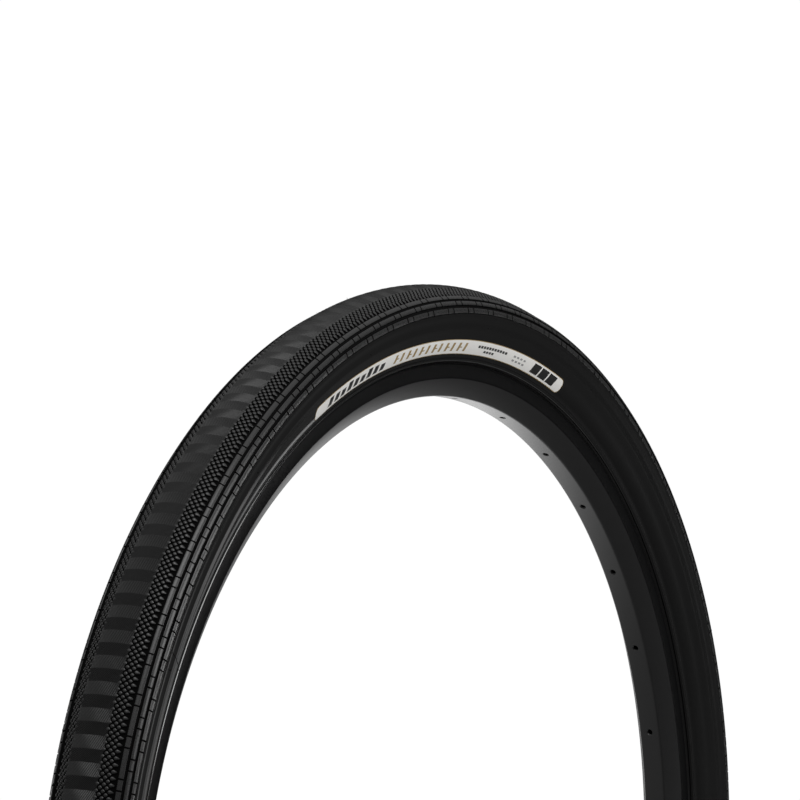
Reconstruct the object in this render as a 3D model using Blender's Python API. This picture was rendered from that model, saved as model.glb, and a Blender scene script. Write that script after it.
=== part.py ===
"""Tubeless bicycle tyre seated on its rim, with the valve that fills it.

The wheel stands upright. The origin is the wheel centre, +Y is the wheel axis and points to the
left side, +X is forward and +Z is up. Every ring is built from a section outline in (radius, y)
and spun about the wheel axis. All rings share the same facets, so the gaps between layers stay
even all the way round.
"""
import math

import bmesh
import bpy
from mathutils import Matrix, Vector

MM = 0.001

# Nominal sizes of the tyre and rim, in millimetres
TREAD_R = 341.0            # outer radius of the inflated tyre
TREAD_ARC_R = 28.67        # crown radius of the tread across its width
TREAD_ARC_EDGE_Y = 18.5    # where the crown arc meets the shoulder ribs
SHOULDER_R = 326.2         # lower edge of the shoulder
SHOULDER_Y = 24.4          # half of the greatest width
BEAD_SEAT_R = 292.0        # half of the 584 mm bead seat diameter
FLANGE_TOP_R = 298.3
RIM_HALF_WIDTH = 13.05
RIM_INNER_HALF_WIDTH = 10.95
RIM_CORNER_R = 290.0       # where the side face meets the sloping flank
SPOKE_BED_R = 279.8
SPOKE_BED_HALF_WIDTH = 6.3
RIM_WALL = 1.6
GAP = 0.3                  # clearance between neighbouring pieces

# Casing: an arc round the tyre section's centre, then a straight lower sidewall
CASING_CENTRE_R = 318.0
CASING_ARC_R = 19.9        # outer face of the outer ply
CASING_ANGLES = (-118, -93, -68, -34, 0, 34, 68, 93, 118)
PLY_THICKNESS = 0.4
LINER_THICKNESS = 0.4
BELT_HALF_ANGLE = 34
SHOULDER_ANGLE = 68
BEAD_CORE_R = 0.9
BEAD_CORE_CENTRE = (294.7, 7.97)

# Sidewall and label
SIDEWALL_LINE = (316.0, 22.3)     # raised line above the label zone
LABEL_TOP = (311.5, 20.1)
LABEL_BOTTOM = (303.7, 16.3)
SIDEWALL_FOOT = (301.2, 14.6)
LABEL_START = 64.9                # degrees round the wheel from +X towards +Z
LABEL_END = 115.3
LABEL_THICKNESS = 0.25

# Drillings
SPOKES = 32
FIRST_SPOKE_ANGLE = 2.25
SPOKE_HOLE_R = 2.0
ACCESS_HOLE_R = 3.6
VALVE_HOLE_R = 3.6
VALVE_ANGLE = FIRST_SPOKE_ANGLE + 23.5 * 360 / SPOKES
SLEEVE_ANGLE = VALVE_ANGLE - 180.0
SLEEVE_HALF_ANGLE = 3.6

# Rings: one flat per spoke hole
FACETS = SPOKES
FIRST_CORNER_ANGLE = FIRST_SPOKE_ANGLE - 180 / FACETS

# Valve heights, in millimetres from the spoke bed towards the wheel centre
CHANNEL_FLOOR_R = 288.0
TAPE_THICKNESS = 0.3
BASE_SEAT_W = SPOKE_BED_R - CHANNEL_FLOOR_R - TAPE_THICKNESS - 2 * GAP
BASE_HEIGHT = 4.5
STEM_FOOT_W = BASE_SEAT_W - BASE_HEIGHT - GAP
STEM_TOP_W = 22.0
STEM_R = 3.0
STEM_BORE_R = 2.0
CORE_SEAT_BORE_R = 2.45
CORE_SEAT_W = 14.0
CORE_FOOT_W = 6.0
CORE_HEAD_W = 22.3
CORE_TOP_W = 25.0
PIN_R = 0.7
PIN_BORE_R = 1.0
PIN_FOOT_W = 2.2
PIN_TOP_W = 31.8
NUT_FOOT_W = 28.0
NUT_HEIGHT = 2.8
WASHER_FOOT_W = 0.95
WASHER_HEIGHT = 1.2
RUNNING_BORE_R = 3.35
LOCK_RING_HEIGHT = 4.5
LOCK_RING_R = 6.0
CAP_FOOT_W = 12.5
CAP_SHOULDER_W = 24.4
CAP_CEILING_W = 32.3
CAP_TOP_W = 33.8


def clear_scene():
    for obj in list(bpy.data.objects):
        bpy.data.objects.remove(obj, do_unlink=True)


def material(name, colour, roughness, metallic=0.0):
    mat = bpy.data.materials.new(name)
    mat.use_nodes = True
    shader = mat.node_tree.nodes["Principled BSDF"]
    shader.inputs["Base Color"].default_value = (*colour, 1.0)
    shader.inputs["Roughness"].default_value = roughness
    shader.inputs["Metallic"].default_value = metallic
    return mat


def arc(centre_r, radius, angles):
    """Section points on an arc; 0 degrees is the crown and positive angles go to +Y."""
    return [
        (centre_r + radius * math.cos(math.radians(a)), radius * math.sin(math.radians(a)))
        for a in angles
    ]


def mirrored(half):
    """A closed outline from its +Y half, listed from one end of the mirror line to the other."""
    return list(half) + [(r, -y) for r, y in reversed(half)]


def offset(path, distance):
    """The open path moved sideways, with mitred corners. Positive moves to the path's right."""
    points = [Vector(p) for p in path]
    steps = [(b - a).normalized() for a, b in zip(points, points[1:])]
    normals = [Vector((d.y, -d.x)) for d in steps]
    moved = []
    for i, point in enumerate(points):
        before = normals[max(i - 1, 0)]
        after = normals[min(i, len(normals) - 1)]
        mitre = (before + after).normalized()
        moved.append(tuple(point + mitre * distance / mitre.dot(after)))
    return moved


def band(path, near, far):
    """The closed outline of the strip between two offsets of one path."""
    return offset(path, near) + list(reversed(offset(path, far)))


def finish(name, bm, mat, smooth=True):
    bmesh.ops.remove_doubles(bm, verts=bm.verts, dist=1e-7)
    bmesh.ops.dissolve_degenerate(bm, edges=bm.edges, dist=1e-7)
    bmesh.ops.recalc_face_normals(bm, faces=bm.faces)
    if bm.calc_volume(signed=True) < 0:
        bmesh.ops.reverse_faces(bm, faces=bm.faces)
    mesh = bpy.data.meshes.new(name)
    bm.to_mesh(mesh)
    bm.free()
    mesh.materials.append(mat)
    if smooth:
        mesh.shade_smooth()
        mesh.set_sharp_from_angle(angle=math.radians(35))
    obj = bpy.data.objects.new(name, mesh)
    bpy.context.collection.objects.link(obj)
    return obj


def spin_outline(outline):
    """A bmesh of one closed (radius, y) outline spun once round the wheel axis."""
    bm = bmesh.new()
    turn = Matrix.Rotation(math.radians(-FIRST_CORNER_ANGLE), 4, "Y")
    verts = [bm.verts.new(turn @ Vector((r * MM, y * MM, 0))) for r, y in outline]
    edges = [bm.edges.new((a, b)) for a, b in zip(verts, verts[1:] + verts[:1])]
    bmesh.ops.spin(bm, geom=verts + edges, cent=(0, 0, 0), axis=(0, 1, 0), dvec=(0, 0, 0),
                   angle=-2 * math.pi, steps=FACETS, use_merge=True, use_duplicate=False)
    bmesh.ops.remove_doubles(bm, verts=bm.verts, dist=1e-7)
    return bm


def ring(name, outline, mat):
    return finish(name, spin_outline(outline), mat)


def sector(name, outline, start, end, mat):
    """The stretch of a ring between two angles, with closed ends."""
    bm = spin_outline(outline)
    for angle, side in ((start, -1), (end, 1)):
        a = math.radians(angle)
        normal = Vector((-math.sin(a), 0, math.cos(a))) * side
        geometry = bm.verts[:] + bm.edges[:] + bm.faces[:]
        bmesh.ops.bisect_plane(bm, geom=geometry, dist=1e-8, plane_co=(0, 0, 0),
                               plane_no=normal, clear_outer=True)
        middle = math.radians((start + end) / 2)
        facing = Vector((math.cos(middle), 0, math.sin(middle)))
        behind = [v for v in bm.verts if v.co.dot(facing) < 0]
        bmesh.ops.delete(bm, geom=behind, context="VERTS")
        rim_edges = [e for e in bm.edges if e.is_boundary]
        bmesh.ops.holes_fill(bm, edges=rim_edges, sides=0)
    return finish(name, bm, mat)


def turned(name, outline, mat, parent, sides=12, closed=True):
    """A lathe-turned valve piece. The outline is in (radius, height) along the valve axis."""
    bm = bmesh.new()
    verts = [bm.verts.new((r * MM, 0, w * MM)) for r, w in outline]
    pairs = list(zip(verts, verts[1:]))
    if closed:
        pairs.append((verts[-1], verts[0]))
    edges = [bm.edges.new(pair) for pair in pairs]
    bmesh.ops.spin(bm, geom=verts + edges, cent=(0, 0, 0), axis=(0, 0, 1), dvec=(0, 0, 0),
                   angle=2 * math.pi, steps=sides, use_merge=True, use_duplicate=False)
    obj = finish(name, bm, mat)
    obj.parent = parent
    return obj


def add_cylinder(bm, angle, inner_r, outer_r, radius, sides):
    """A radial cylinder between two wheel radii, as a drill that cuts the rim."""
    a = math.radians(angle)
    outward = Vector((math.cos(a), 0, math.sin(a)))
    middle = outward * (inner_r + outer_r) / 2 * MM
    turn = outward.to_track_quat("Z", "Y").to_matrix().to_4x4()
    bmesh.ops.create_cone(bm, cap_ends=True, segments=sides, radius1=radius * MM,
                          radius2=radius * MM, depth=(outer_r - inner_r) * MM,
                          matrix=Matrix.Translation(middle) @ turn)


def cutter(name, bm):
    mesh = bpy.data.meshes.new(name)
    bmesh.ops.recalc_face_normals(bm, faces=bm.faces)
    bm.to_mesh(mesh)
    bm.free()
    obj = bpy.data.objects.new(name, mesh)
    bpy.context.collection.objects.link(obj)
    obj.hide_render = True
    obj.display_type = "WIRE"
    return obj


def cut(obj, tool):
    boolean = obj.modifiers.new(tool.name, "BOOLEAN")
    boolean.operation = "DIFFERENCE"
    boolean.solver = "EXACT"
    boolean.object = tool


def spoke_drills():
    """Nipple holes through the spoke bed and wider access holes through the tyre bed."""
    bm = bmesh.new()
    for i in range(SPOKES):
        angle = FIRST_SPOKE_ANGLE + i * 360 / SPOKES
        add_cylinder(bm, angle, SPOKE_BED_R - 6, SPOKE_BED_R + 3.4, SPOKE_HOLE_R, 8)
        add_cylinder(bm, angle, CHANNEL_FLOOR_R - 3.9, CHANNEL_FLOOR_R + 2, ACCESS_HOLE_R, 6)
    return cutter("spoke_drills", bm)


def valve_drill():
    bm = bmesh.new()
    add_cylinder(bm, VALVE_ANGLE, SPOKE_BED_R - 6, CHANNEL_FLOOR_R + 4, VALVE_HOLE_R, 12)
    return cutter("valve_drill", bm)


def tyre_bed_half():
    """The +Y half of the tyre bed, from the flange's inner face to the channel floor."""
    seat_r = BEAD_SEAT_R - TAPE_THICKNESS - GAP - 0.2
    return [
        (FLANGE_TOP_R - 0.7, RIM_INNER_HALF_WIDTH),
        (seat_r + 0.6, RIM_INNER_HALF_WIDTH),
        (seat_r, RIM_INNER_HALF_WIDTH - 0.6),
        (seat_r, 7.4),
        (CHANNEL_FLOOR_R, 5.2),
    ]


def build_rim(mat):
    outside = [
        (SPOKE_BED_R, SPOKE_BED_HALF_WIDTH),
        (RIM_CORNER_R, RIM_HALF_WIDTH),
        (FLANGE_TOP_R - 1.2, RIM_HALF_WIDTH),
        (FLANGE_TOP_R, RIM_HALF_WIDTH - 0.5),
        (FLANGE_TOP_R, RIM_INNER_HALF_WIDTH + 0.6),
    ] + tyre_bed_half()
    seat_r = tyre_bed_half()[3][0]
    chamber = [
        (SPOKE_BED_R + RIM_WALL, SPOKE_BED_HALF_WIDTH - 1.1),
        (RIM_CORNER_R - 1.0, RIM_HALF_WIDTH - 2.75),
        (seat_r - RIM_WALL, RIM_HALF_WIDTH - 3.2),
        (seat_r - RIM_WALL, 7.9),
        (CHANNEL_FLOOR_R - RIM_WALL, 4.6),
    ]
    rim = ring("rim", mirrored(outside), mat)
    cut(rim, cutter("rim_chamber", spin_outline(mirrored(chamber))))
    cut(rim, spoke_drills())
    return rim


def build_sleeve(mat):
    """The plug pressed inside the chamber where the rolled rim's two ends meet."""
    floor_r = SPOKE_BED_R + RIM_WALL + GAP
    roof_r = CHANNEL_FLOOR_R - RIM_WALL - GAP
    half = [(floor_r, 4.5), (roof_r - 0.5, 7.4), (roof_r, 4.2)]
    start = SLEEVE_ANGLE - SLEEVE_HALF_ANGLE
    end = SLEEVE_ANGLE + SLEEVE_HALF_ANGLE
    return sector("rim_joint_sleeve", mirrored(half), start, end, mat)


def build_tape(mat):
    bed = tyre_bed_half()[2:]
    path = [(r, y - 0.35) for r, y in bed[:1]] + bed[1:]
    path = path + [(r, -y) for r, y in reversed(path)]
    return ring("rim_tape", band(path, -GAP, -GAP - TAPE_THICKNESS), mat)


def casing_path(radius, bead_half):
    """One casing face from the -Y bead over the crown to the +Y bead."""
    left = [(r, -y) for r, y in reversed(bead_half)]
    return left + arc(CASING_CENTRE_R, radius, CASING_ANGLES) + list(bead_half)


def outer_bead_half():
    return [(300.6, 13.0), (298.3, 9.7), (292.8, 9.7)]


def inner_bead_half():
    return [(297.2, 6.8), (292.8, 6.8)]


def build_plies(mat):
    outer = casing_path(CASING_ARC_R, outer_bead_half())
    inner = casing_path(CASING_ARC_R - PLY_THICKNESS - GAP, inner_bead_half())
    ring("casing_ply_outer", band(outer, 0, -PLY_THICKNESS), mat)
    ring("casing_ply_inner", band(inner, 0, -PLY_THICKNESS), mat)


def build_liner(mat):
    start = PLY_THICKNESS + GAP
    path = casing_path(CASING_ARC_R - start, inner_bead_half())
    ring("inner_liner", band(path, -start, -start - LINER_THICKNESS), mat)


def build_belt(mat):
    angles = (-BELT_HALF_ANGLE, 0, BELT_HALF_ANGLE)
    path = arc(CASING_CENTRE_R, CASING_ARC_R, angles)
    ring("puncture_belt", band(path, GAP, GAP + PLY_THICKNESS), mat)


def build_tread(mat):
    edge = math.degrees(math.asin(TREAD_ARC_EDGE_Y / TREAD_ARC_R))
    crown = arc(TREAD_R - TREAD_ARC_R, TREAD_ARC_R, [edge * t / 3 for t in range(-3, 4)])
    shoulder = [(331.6, 22.4), (328.6, SHOULDER_Y - 0.4), (SHOULDER_R, SHOULDER_Y)]
    outside = [(r, -y) for r, y in reversed(shoulder)] + crown + shoulder
    under = CASING_ARC_R + 2 * GAP + PLY_THICKNESS
    angles = [a for a in CASING_ANGLES if abs(a) <= SHOULDER_ANGLE]
    inside = arc(CASING_CENTRE_R, under, reversed(angles))
    ring("tread_cap", outside + inside, mat)


def sidewall_outline(side):
    """Sidewall rubber from the shoulder to just above the rim flange."""
    inner = arc(CASING_CENTRE_R, CASING_ARC_R + GAP, (SHOULDER_ANGLE, 93, 118))
    start = Vector(inner[0]).lerp(Vector(inner[1]), 0.06)
    foot = offset([inner[2], outer_bead_half()[0]], GAP)[1]
    inside = [tuple(start), inner[1], inner[2], (foot[0] + 1.0, foot[1] + 0.75)]
    outside = [
        SIDEWALL_FOOT,
        LABEL_BOTTOM,
        SIDEWALL_LINE,
        (320.5, 23.6),
        (SHOULDER_R - 0.6, SHOULDER_Y - 0.15),
    ]
    return [(r, y * side) for r, y in inside + outside]


def build_sidewalls(mat):
    ring("sidewall_left", sidewall_outline(1), mat)
    ring("sidewall_right", sidewall_outline(-1), mat)


def build_beads(core_mat, chafer_mat):
    centre_r, centre_y = BEAD_CORE_CENTRE
    for name, side in (("left", 1), ("right", -1)):
        core = [
            (centre_r + BEAD_CORE_R * math.cos(math.radians(a)),
             side * (centre_y + BEAD_CORE_R * math.sin(math.radians(a))))
            for a in range(30, 390, 60)
        ]
        ring("bead_core_" + name, core, core_mat)
        path = [(r, y) for r, y in outer_bead_half()] + [(292.8, 7.0)]
        wrap = band(path, GAP, GAP + PLY_THICKNESS)
        ring("chafer_" + name, [(r, y * side) for r, y in wrap], chafer_mat)


def build_labels(mat):
    for name, side in (("left", 1), ("right", -1)):
        face = band([LABEL_TOP, LABEL_BOTTOM], GAP, GAP + LABEL_THICKNESS)
        outline = [(r, y * side) for r, y in face]
        sector("label_" + name, outline, LABEL_START, LABEL_END, mat)


def valve_axis():
    """An empty on the spoke bed whose +Z is the valve's axis, towards the wheel centre."""
    axis = bpy.data.objects.new("valve_axis", None)
    bpy.context.collection.objects.link(axis)
    a = math.radians(VALVE_ANGLE)
    axis.location = (SPOKE_BED_R * MM * math.cos(a), 0, SPOKE_BED_R * MM * math.sin(a))
    axis.rotation_euler = (0, math.atan2(-math.cos(a), -math.sin(a)), 0)
    return axis


def build_valve_base(axis, mat):
    seat = BASE_SEAT_W
    turned("valve_base", [
        (RUNNING_BORE_R, seat),
        (RUNNING_BORE_R, seat - BASE_HEIGHT),
        (4.9, seat - BASE_HEIGHT),
        (4.9, seat - 1.9),
        (4.2, seat),
    ], mat, axis)


def build_stem(axis, mat):
    foot = STEM_FOOT_W
    turned("valve_stem", [
        (STEM_BORE_R, foot - 1.2),
        (4.4, foot - 1.2),
        (4.4, foot),
        (STEM_R, foot),
        (STEM_R, STEM_TOP_W),
        (CORE_SEAT_BORE_R, STEM_TOP_W),
        (CORE_SEAT_BORE_R, CORE_SEAT_W),
        (STEM_BORE_R, CORE_SEAT_W - 0.4),
    ], mat, axis)


def build_lock_ring(axis, washer_mat, ring_mat):
    foot = WASHER_FOOT_W
    top = foot + WASHER_HEIGHT
    turned("lock_washer", [
        (RUNNING_BORE_R, foot + 0.3),
        (3.7, foot),
        (5.1, foot),
        (5.4, foot + 0.3),
        (5.4, top - 0.3),
        (5.1, top),
        (3.7, top),
        (RUNNING_BORE_R, top - 0.3),
    ], washer_mat, axis)
    foot = top + GAP
    top = foot + LOCK_RING_HEIGHT
    turned("lock_ring", [
        (RUNNING_BORE_R, foot),
        (5.4, foot),
        (LOCK_RING_R, foot + 0.6),
        (LOCK_RING_R, top - 1.2),
        (4.8, top),
        (RUNNING_BORE_R, top),
    ], ring_mat, axis, sides=16)


def build_core(axis, brass, rubber):
    turned("valve_core_body", [
        (PIN_BORE_R, CORE_FOOT_W),
        (STEM_BORE_R - GAP, CORE_FOOT_W),
        (STEM_BORE_R - GAP, CORE_SEAT_W),
        (CORE_SEAT_BORE_R - GAP, CORE_SEAT_W + 0.5),
        (CORE_SEAT_BORE_R - GAP, CORE_HEAD_W),
        (2.6, CORE_HEAD_W),
        (2.6, CORE_HEAD_W + 1.4),
        (1.6, CORE_HEAD_W + 1.7),
        (1.6, CORE_TOP_W),
        (PIN_BORE_R, CORE_TOP_W),
    ], brass, axis)
    turned("valve_pin", [
        (0, PIN_FOOT_W),
        (1.5, PIN_FOOT_W),
        (1.5, PIN_FOOT_W + 0.9),
        (PIN_R, PIN_FOOT_W + 1.1),
        (PIN_R, PIN_TOP_W - 0.2),
        (PIN_R - 0.2, PIN_TOP_W),
        (0, PIN_TOP_W),
    ], brass, axis, sides=10, closed=False)
    seal_foot = PIN_FOOT_W + 1.2 + GAP
    turned("valve_core_seal", [
        (PIN_BORE_R, seal_foot),
        (STEM_BORE_R - 0.4, seal_foot),
        (STEM_BORE_R - 0.4, CORE_FOOT_W - GAP - 0.6),
        (1.3, CORE_FOOT_W - GAP),
        (PIN_BORE_R, CORE_FOOT_W - GAP),
    ], rubber, axis)
    turned("valve_nut", [
        (PIN_BORE_R, NUT_FOOT_W),
        (1.8, NUT_FOOT_W),
        (2.1, NUT_FOOT_W + 0.3),
        (2.1, NUT_FOOT_W + NUT_HEIGHT - 0.3),
        (1.8, NUT_FOOT_W + NUT_HEIGHT),
        (PIN_BORE_R, NUT_FOOT_W + NUT_HEIGHT),
    ], brass, axis)


def build_cap(axis, mat):
    turned("dust_cap", [
        (0, CAP_CEILING_W),
        (2.2, CAP_CEILING_W),
        (2.8, CAP_CEILING_W - 0.6),
        (2.8, CAP_SHOULDER_W),
        (RUNNING_BORE_R, CAP_SHOULDER_W - 0.3),
        (RUNNING_BORE_R, CAP_FOOT_W),
        (4.2, CAP_FOOT_W),
        (4.2, CAP_SHOULDER_W),
        (3.7, CAP_SHOULDER_W + 1.2),
        (3.7, CAP_TOP_W - 1.0),
        (2.7, CAP_TOP_W),
        (0, CAP_TOP_W),
    ], mat, axis, closed=False)


def build():
    clear_scene()
    tread_rubber = material("tread_rubber", (0.022, 0.022, 0.022), 0.6)
    sidewall_rubber = material("sidewall_rubber", (0.016, 0.016, 0.016), 0.42)
    ply = material("casing_fabric", (0.06, 0.055, 0.05), 0.8)
    liner = material("liner_rubber", (0.03, 0.03, 0.03), 0.5)
    belt = material("belt_fabric", (0.25, 0.2, 0.1), 0.8)
    aramid = material("bead_aramid", (0.55, 0.42, 0.12), 0.6)
    label = material("label_film", (0.82, 0.8, 0.76), 0.4)
    anodised = material("rim_anodised", (0.03, 0.03, 0.032), 0.25, 0.9)
    sleeve = material("sleeve_aluminium", (0.6, 0.6, 0.62), 0.4, 0.9)
    tape = material("tape_film", (0.35, 0.3, 0.12), 0.35)
    black_rubber = material("valve_rubber", (0.015, 0.015, 0.015), 0.6)
    stem = material("valve_stem_metal", (0.03, 0.03, 0.03), 0.3, 0.9)
    brass = material("valve_brass", (0.6, 0.42, 0.16), 0.35, 1.0)
    cap = material("cap_plastic", (0.02, 0.02, 0.02), 0.4)

    build_tread(tread_rubber)
    build_belt(belt)
    build_plies(ply)
    build_liner(liner)
    build_sidewalls(sidewall_rubber)
    build_beads(aramid, black_rubber)
    build_labels(label)
    rim = build_rim(anodised)
    rim_tape = build_tape(tape)
    drill = valve_drill()
    cut(rim, drill)
    cut(rim_tape, drill)
    build_sleeve(sleeve)

    axis = valve_axis()
    build_valve_base(axis, black_rubber)
    build_stem(axis, stem)
    build_lock_ring(axis, black_rubber, stem)
    build_core(axis, brass, black_rubber)
    build_cap(axis, cap)


build()
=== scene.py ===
"""Looks of a tubeless bicycle tyre on its rim: tread, sidewalls, labels, rim and valve.

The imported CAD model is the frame. Every ring is a section outline in (radius, y) millimetres spun
about the wheel axis, which is world Y. On the tread, s is the distance along the section from the
crown, in millimetres, and it grows towards the right side, which is -Y. Angles are in degrees
round the wheel, from +X towards +Z.
"""

import math

import bmesh
import bpy
import numpy as np
from mathutils import Matrix, Vector


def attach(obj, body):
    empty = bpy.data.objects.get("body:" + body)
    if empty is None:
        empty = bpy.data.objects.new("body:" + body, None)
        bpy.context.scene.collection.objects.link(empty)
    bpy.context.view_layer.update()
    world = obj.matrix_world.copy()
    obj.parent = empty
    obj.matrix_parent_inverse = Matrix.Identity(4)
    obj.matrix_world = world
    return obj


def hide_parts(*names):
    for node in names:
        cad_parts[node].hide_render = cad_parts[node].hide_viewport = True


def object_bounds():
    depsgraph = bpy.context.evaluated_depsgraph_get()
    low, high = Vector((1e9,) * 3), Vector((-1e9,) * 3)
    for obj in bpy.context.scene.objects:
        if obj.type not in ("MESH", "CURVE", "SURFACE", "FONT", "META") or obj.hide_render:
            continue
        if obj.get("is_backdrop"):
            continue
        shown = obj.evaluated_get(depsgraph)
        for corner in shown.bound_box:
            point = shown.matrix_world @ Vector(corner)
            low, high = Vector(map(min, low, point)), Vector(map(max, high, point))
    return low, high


MM = 0.001
ROOT = "tyre_and_rim"
SIDES = (("right", -1), ("left", 1))
RING_STEPS = 384

# Crown of the tread, and the land under its pattern
ARC_CENTRE_R = 312.33
ARC_R = 28.67
CROWN_R = ARC_CENTRE_R + ARC_R
LAND_DEPTH = 1.1
LAND_HALF_WIDTH = 18.4

# File band: zigzag ridges in blocks that alternate in direction. FILE_RIDGE is one ridge's
# profile as (distance, height) within its pitch.
BLOCK_PAIRS = 153
BLOCK_ANGLE = 180 / BLOCK_PAIRS
BLOCK_LENGTH = CROWN_R * math.radians(BLOCK_ANGLE)
FILE_HALF_WIDTH = 9.9
FILE_PITCH = 1.0
FILE_SHIFT = 5.5
FILE_DEPTH = 0.2
FILE_RIDGE = ((0.0, -FILE_DEPTH), (0.38, 0.0), (0.54, 0.0), (0.9, -FILE_DEPTH))
FILE_FLOOR = 0.9
FIRST_BLOCK_ANGLE = 159.96

# Knobs beside the file band. Rows are (distance from the crown, phase in pitches), and levels are
# (height, half width) from the foot to the flat on top.
KNOBS = 4 * BLOCK_PAIRS
KNOB_ROWS = ((9.75, 0.77), (11.48, 0.27), (13.21, 0.77), (14.94, 0.27), (16.67, 0.77))
KNOB_HALF = 1.12
KNOB_LEVELS = ((-1.35, KNOB_HALF), (-0.3, KNOB_HALF - 0.12), (-0.1, KNOB_HALF - 0.32),
               (0.0, KNOB_HALF - 0.72))
KNOB_CUT = 0.38
KNOB_TAIL = 1.1
KNOB_TAIL_DROP = 0.35

# Shoulder ribs as (inner edge, outer edge, phase of the first sipe in degrees)
RIB_C = ((335.2, 18.85), (333.55, 20.85), 160.98)
RIB_B = ((332.4, 22.0), (330.3, 23.3), 159.12)
RIB_A = ((328.65, 23.85), (325.9, 24.35), 160.98)
SIPE_PERIODS = 96
SIPE_PAIR_ANGLE = 1.02
SIPE_WIDTH_ANGLE = 0.15
RIB_DEPTH = 1.5
RIB_RISE = 0.1
RIB_ROUNDING = 0.25

# Casing layers under the rubber
CASING_CENTRE_R = 318.0
TREAD_UNDER_R = 20.9
SIDEWALL_UNDER_R = 20.2

# Label zone: a cone between two radii that bulges a little in the middle
LABEL_TOP = (311.5, 20.0)
LABEL_BOTTOM = (303.7, 16.3)
LABEL_BULGE = 0.3
LABEL_BULGE_REACH = (-0.15, 1.15)
WALL_BELOW_LABEL = 1.1
LABEL_HEIGHT = math.hypot(LABEL_TOP[0] - LABEL_BOTTOM[0], LABEL_TOP[1] - LABEL_BOTTOM[1])
LABEL_DEGREE = math.radians(1) * (LABEL_TOP[0] + LABEL_BOTTOM[0]) / 2
LABEL_START = 64.9
LABEL_END = 115.3
LABEL_CORNER = 3.1
LABEL_SPAN = LABEL_HEIGHT - 0.45

# Films on the wall as (clearance, thickness), in the order that they lie over each other
LABEL_EDGE_FILM = (0.02, 0.06)
LABEL_FILM = (0.04, 0.09)
PRINT_FILM = (0.12, 0.05)
LABEL_EDGE_MARGIN = 0.35

# Rim. Holes are stations of (wheel radius, hole radius).
BED_R = 279.8
BED_HALF = 6.3
SPOKES = 32
FIRST_SPOKE_ANGLE = 2.25
VALVE_ANGLE = FIRST_SPOKE_ANGLE + 23.5 * 360 / SPOKES
SPOKE_HOLE = ((BED_R - 1, 2.95), (BED_R + 0.55, 1.4), (BED_R + 3, 1.4))
ACCESS_HOLE = ((285.0, 3.6), (290.0, 3.6))
VALVE_HOLE = ((BED_R - 1, 4.6), (BED_R + 0.4, 3.4), (292.0, 3.4))
TAPE_HOLE = ((284.0, 3.4), (294.0, 3.4))
# The specular level falls on the rim's flanks, over this span of distance from the middle plane.
RIM_FLANK_EDGE = (12.6, 12.95)
RIM_SHINE = (1.0, 0.06)

# Marks left by the mould. Nubs are (radius, length, tip's share of the radius).
VENTS = 16
FIRST_VENT_ANGLE = 60.0
WALL_NUB_PLACE = (318.3, 22.6)
WALL_NUB = (0.45, 0.35, 0.7)
RIB_NUB_PLACE = (331.35, 22.68)
RIB_NUB_NORMAL = (0.52, 0.854)
RIB_NUB = (0.4, 0.22, 0.7)
RIB_NUB_SHIFT_ANGLE = 7
STUB_ROOT = 0.3
HAIRS = 60
FIRST_HAIR_ANGLE = 2.0
HAIR_RADIUS = 0.16
HAIR_LENGTH = 0.9
HAIR_LENGTH_SPREAD = 0.5
HAIR_TIP = 0.5
SPLICE_ANGLE = 148.6
SPLICE_WIDTH_ANGLE = 0.08
SPLICE_LIFT = 0.05
SPLICE_REACH = (299.6, 324.0)

# Noise mostly lies in this span, which materials stretch to the levels they need. The mix node
# has one set of sockets per data type, and these are its colour sockets.
NOISE_SPAN = (0.3, 0.7)
MIX_COLOURS = (6, 7)
MIX_RESULT = 2

# Vertices closer than this, in metres, count as one. A rounded corner takes at most this share
# of the edges beside it.
MERGE_DISTANCE = 1e-6
CORNER_SHARE = 0.45

# Camera, in metres, radians and millimetres of lens
CAMERA_PLACE = (-2.4523, -1.4622, 0.4676)
CAMERA_YAW = 1.0304
CAMERA_PITCH = -0.0663
CAMERA_LENS = 236.2
SENSOR_WIDTH = 36.0
CAMERA_CLIP = (0.1, 200)

# Studio. Paper white is just past the clipping level. Painted contact shade reaches a short way
# out.
PAPER_WHITE = 1.02
PAINTED_CONTACT_SHADE = 0.35
CONTACT_REACH = 0.16
CONTACT_SAMPLES = 12
FLOOR_HALF_SIZE = 60.0
FLOOR_GAP = 0.0002
# To all but the camera the floor glows with painted light: bright behind a slanting line, dark
# in front of it, and fading towards -X. Each edge is the span of a step, in metres from the
# wheel's centre.
FLOOR_BRIGHT_SIDE = (-0.26, 0.966, 0.0)
FLOOR_EDGE = (-0.58, 0.2)
FLOOR_GLOW_LEVELS = (0.04, 1.8)
FLOOR_LEFT_EDGE = (-0.1, 1.1)
FLOOR_LEFT_GLOW_LEVELS = (0.1, 1)
ROOM_LEVELS = (0.03, 0.65)
# In reflections a dark card stands behind the tyre. It hides the directions near the camera's
# line of sight, past a cosine, down to a low edge, and leaves a little of their light.
CARD_SIDE_EDGE = (0.87, 0.94)
CARD_LOW_EDGE = (-0.275, -0.2)
CARD_LIGHT = 0.04
# name, azimuth and elevation in degrees, distance, width and height in metres, radiance, and
# whether it is seen in reflections
SOFTBOXES = (
    ("front_softbox", -83, 24, 2.2, 1.0, 1.0, 3.0, True),
    ("upper_softbox", -128, 53, 2.2, 1.0, 1.0, 2.4, True),
    ("front_strip", -48, 2.5, 2.4, 0.38, 0.45, 8.0, True),
    ("label_softbox", -70, 10, 2.5, 1.2, 1.2, 4.5, False),
)

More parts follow.
